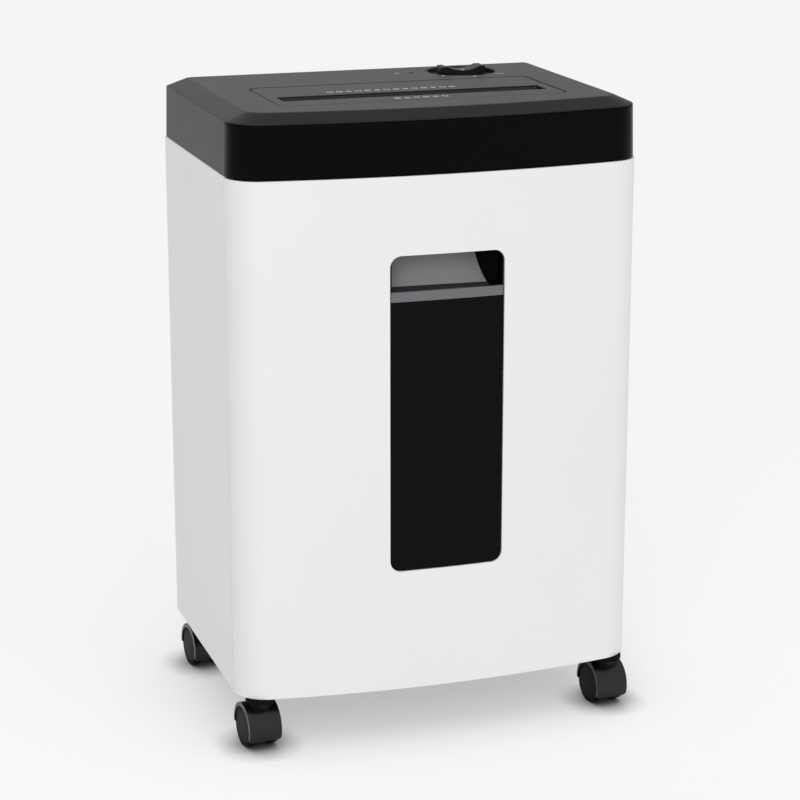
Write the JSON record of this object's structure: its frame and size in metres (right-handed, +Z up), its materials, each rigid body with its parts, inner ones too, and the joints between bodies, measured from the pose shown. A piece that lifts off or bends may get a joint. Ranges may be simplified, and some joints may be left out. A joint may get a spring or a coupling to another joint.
{
  "type": "paper shredder",
  "caption": "Free-standing office paper shredder on casters: white cabinet, dark cutting head with feed slot and mode knob, pull-out waste drawer with window and finger grip.",
  "frame": {"origin": "on the floor under the middle of the machine's bounding box", "axes": "+Z up, -Y out of the bowed front with the drawer, +X to the right as seen from the front"},
  "size_m": [0.35, 0.251, 0.5385],
  "materials": {
    "white_shell": "satin white moulding",
    "head_grey": "fine-textured dark grey moulding",
    "gloss_fascia": "polished black moulding",
    "smoked_window": "polished smoked panel",
    "grip_grey": "satin mid-grey moulding",
    "black_plastic": "matte black moulding",
    "bin_plastic": "matte dark moulding",
    "zinc_plate": "zinc-plated sheet",
    "nylon": "natural nylon moulding",
    "machined_steel": "machined and oiled steel",
    "circuit_board": "solder-mask green",
    "lamp_lens": "tinted clear lens",
    "caster_black": "satin black moulding",
    "wheel_plastic": "satin dark grey moulding"
  },
  "bodies": {
    "cabinet": {"left_side_panel": "white_shell", "right_side_panel": "white_shell", "rear_panel": "white_shell", "head_top_cover": "head_grey", "feed_plate": "head_grey", "head_front_fascia": "gloss_fascia", "base_tray": "black_plastic", "top_frame": "black_plastic", "interlock_switch": "black_plastic", "head_chassis": "black_plastic", "knob_dish": "black_plastic", "rotary_switch": "black_plastic", "power_inlet": "black_plastic", "stripper_comb_front": "black_plastic", "stripper_comb_rear": "black_plastic", "gear_cover": "black_plastic", "drawer_rail_left": "zinc_plate", "drawer_rail_right": "zinc_plate", "feed_guide_front": "zinc_plate", "feed_guide_rear": "zinc_plate", "side_frame_left": "zinc_plate", "side_frame_right": "zinc_plate", "tie_rod_front": "zinc_plate", "tie_rod_rear": "zinc_plate", "motor_housing": "machined_steel", "control_board": "circuit_board", "lamp_lens": "lamp_lens", "caster_front_left_stem": "zinc_plate", "caster_front_right_stem": "zinc_plate", "caster_rear_left_stem": "zinc_plate", "caster_rear_right_stem": "zinc_plate"},
    "drawer": {"front_panel": "white_shell", "window_panel": "smoked_window", "grip_scoop": "grip_grey", "waste_bin": "bin_plastic"},
    "knob": {"mode_knob": "head_grey"},
    "front_cutter": {"cutter_front": "machined_steel", "cutter_gear_front": "machined_steel"},
    "rear_cutter": {"cutter_rear": "machined_steel", "cutter_gear_rear": "machined_steel"},
    "middle_gear": {"intermediate_gear": "nylon"},
    "rotor": {"motor_rotor": "machined_steel"},
    "lever": {"paper_lever": "nylon"},
    "plunger": {"interlock_plunger": "nylon"},
    "caster_front_left": {"caster_front_left_hood": "caster_black", "caster_front_left_axle": "zinc_plate"},
    "caster_front_left_left_wheel": {"caster_front_left_wheel_left": "wheel_plastic"},
    "caster_front_left_right_wheel": {"caster_front_left_wheel_right": "wheel_plastic"},
    "caster_front_right": {"caster_front_right_hood": "caster_black", "caster_front_right_axle": "zinc_plate"},
    "caster_front_right_left_wheel": {"caster_front_right_wheel_left": "wheel_plastic"},
    "caster_front_right_right_wheel": {"caster_front_right_wheel_right": "wheel_plastic"},
    "caster_rear_left": {"caster_rear_left_hood": "caster_black", "caster_rear_left_axle": "zinc_plate"},
    "caster_rear_left_left_wheel": {"caster_rear_left_wheel_left": "wheel_plastic"},
    "caster_rear_left_right_wheel": {"caster_rear_left_wheel_right": "wheel_plastic"},
    "caster_rear_right": {"caster_rear_right_hood": "caster_black", "caster_rear_right_axle": "zinc_plate"},
    "caster_rear_right_left_wheel": {"caster_rear_right_wheel_left": "wheel_plastic"},
    "caster_rear_right_right_wheel": {"caster_rear_right_wheel_right": "wheel_plastic"}
  },
  "joints": [
    {"name": "drawer_slide", "type": "slide", "parent": "cabinet", "child": "drawer", "axis": [0, -1, 0], "range_m": [0, 0.21]},
    {"name": "knob_turn", "type": "hinge", "parent": "cabinet", "child": "knob", "pos_m": [0.082, 0.0795, 0.53], "axis": [0, 0, 1], "range_deg": [-45, 45]},
    {"name": "front_cutter_spin", "type": "hinge", "parent": "cabinet", "child": "front_cutter", "pos_m": [0, -0.0505, 0.478], "axis": [1, 0, 0], "continuous": true},
    {"name": "rear_cutter_spin", "type": "hinge", "parent": "cabinet", "child": "rear_cutter", "pos_m": [0, -0.0175, 0.478], "axis": [1, 0, 0], "continuous": true},
    {"name": "middle_gear_spin", "type": "hinge", "parent": "cabinet", "child": "middle_gear", "pos_m": [0.128, 0.0089, 0.478], "axis": [1, 0, 0], "continuous": true},
    {"name": "rotor_spin", "type": "hinge", "parent": "cabinet", "child": "rotor", "pos_m": [0.128, 0.0414, 0.478], "axis": [1, 0, 0], "continuous": true},
    {"name": "lever_swing", "type": "hinge", "parent": "cabinet", "child": "lever", "pos_m": [0, -0.02, 0.512], "axis": [1, 0, 0], "range_deg": [0, 35], "stiffness_Nm_per_rad": 0.002, "springref_deg": -5.73},
    {"name": "plunger_press", "type": "slide", "parent": "cabinet", "child": "plunger", "axis": [0, 1, 0], "range_m": [0, 0.002], "stiffness_N_per_m": 150, "springref_m": -0.004},
    {"name": "caster_front_left_swivel", "type": "hinge", "parent": "cabinet", "child": "caster_front_left", "pos_m": [-0.156, -0.1015, 0.044], "axis": [0, 0, 1], "continuous": true},
    {"name": "caster_front_left_left_roll", "type": "hinge", "parent": "caster_front_left", "child": "caster_front_left_left_wheel", "pos_m": [-0.1567, -0.09353, 0.017], "axis": [0.9962, 0.0872, 0], "continuous": true},
    {"name": "caster_front_left_right_roll", "type": "hinge", "parent": "caster_front_left", "child": "caster_front_left_right_wheel", "pos_m": [-0.1567, -0.09353, 0.017], "axis": [0.9962, 0.0872, 0], "continuous": true},
    {"name": "caster_front_right_swivel", "type": "hinge", "parent": "cabinet", "child": "caster_front_right", "pos_m": [0.156, -0.1015, 0.044], "axis": [0, 0, 1], "continuous": true},
    {"name": "caster_front_right_left_roll", "type": "hinge", "parent": "caster_front_right", "child": "caster_front_right_left_wheel", "pos_m": [0.1553, -0.09353, 0.017], "axis": [0.9962, 0.0872, 0], "continuous": true},
    {"name": "caster_front_right_right_roll", "type": "hinge", "parent": "caster_front_right", "child": "caster_front_right_right_wheel", "pos_m": [0.1553, -0.09353, 0.017], "axis": [0.9962, 0.0872, 0], "continuous": true},
    {"name": "caster_rear_left_swivel", "type": "hinge", "parent": "cabinet", "child": "caster_rear_left", "pos_m": [-0.156, 0.093, 0.044], "axis": [0, 0, 1], "continuous": true},
    {"name": "caster_rear_left_left_roll", "type": "hinge", "parent": "caster_rear_left", "child": "caster_rear_left_left_wheel", "pos_m": [-0.1567, 0.10097, 0.017], "axis": [0.9962, 0.0872, 0], "continuous": true},
    {"name": "caster_rear_left_right_roll", "type": "hinge", "parent": "caster_rear_left", "child": "caster_rear_left_right_wheel", "pos_m": [-0.1567, 0.10097, 0.017], "axis": [0.9962, 0.0872, 0], "continuous": true},
    {"name": "caster_rear_right_swivel", "type": "hinge", "parent": "cabinet", "child": "caster_rear_right", "pos_m": [0.156, 0.093, 0.044], "axis": [0, 0, 1], "continuous": true},
    {"name": "caster_rear_right_left_roll", "type": "hinge", "parent": "caster_rear_right", "child": "caster_rear_right_left_wheel", "pos_m": [0.1553, 0.10097, 0.017], "axis": [0.9962, 0.0872, 0], "continuous": true},
    {"name": "caster_rear_right_right_roll", "type": "hinge", "parent": "caster_rear_right", "child": "caster_rear_right_right_wheel", "pos_m": [0.1553, 0.10097, 0.017], "axis": [0.9962, 0.0872, 0], "continuous": true}
  ],
  "couplings": [
    {"joint": "rear_cutter_spin", "follows": "front_cutter_spin", "ratio": -1},
    {"joint": "middle_gear_spin", "follows": "front_cutter_spin", "ratio": 1.6667},
    {"joint": "rotor_spin", "follows": "front_cutter_spin", "ratio": -5.5556}
  ]
}
